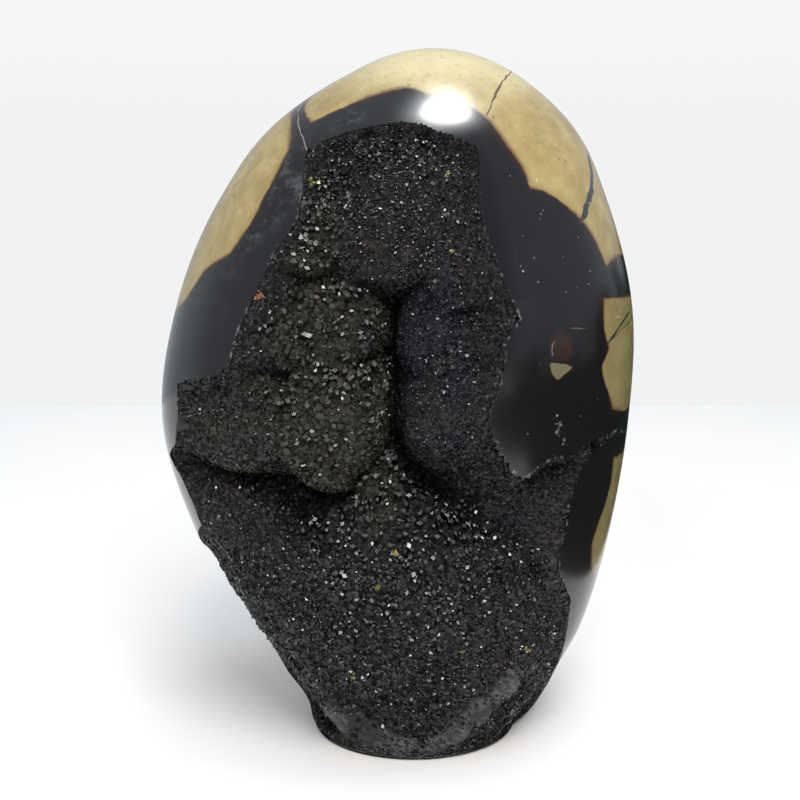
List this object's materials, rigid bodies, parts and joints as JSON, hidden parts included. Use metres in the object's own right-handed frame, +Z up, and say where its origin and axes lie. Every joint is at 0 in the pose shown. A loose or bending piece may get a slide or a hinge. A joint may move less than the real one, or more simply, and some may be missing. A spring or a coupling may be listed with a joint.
{
  "type": "septarian nodule",
  "caption": "Polished egg-shaped stone standing on a small flat foot, its front broken open on a hollow lined with dark crystals.",
  "frame": {"origin": "on the floor, under the middle of the stone's box", "axes": "+Z up; -Y out of the hollow, towards the viewer; +X to the viewer's right"},
  "size_m": [0.1304, 0.1011, 0.19],
  "materials": {
    "polished_stone": "polished mudstone with dark calcite bands and veins, glossy",
    "dark_crystals": "near-black calcite druse, small glinting facets"
  },
  "bodies": {
    "root": {"nodule": "polished_stone", "crystal_crust": "dark_crystals"}
  },
  "joints": []
}
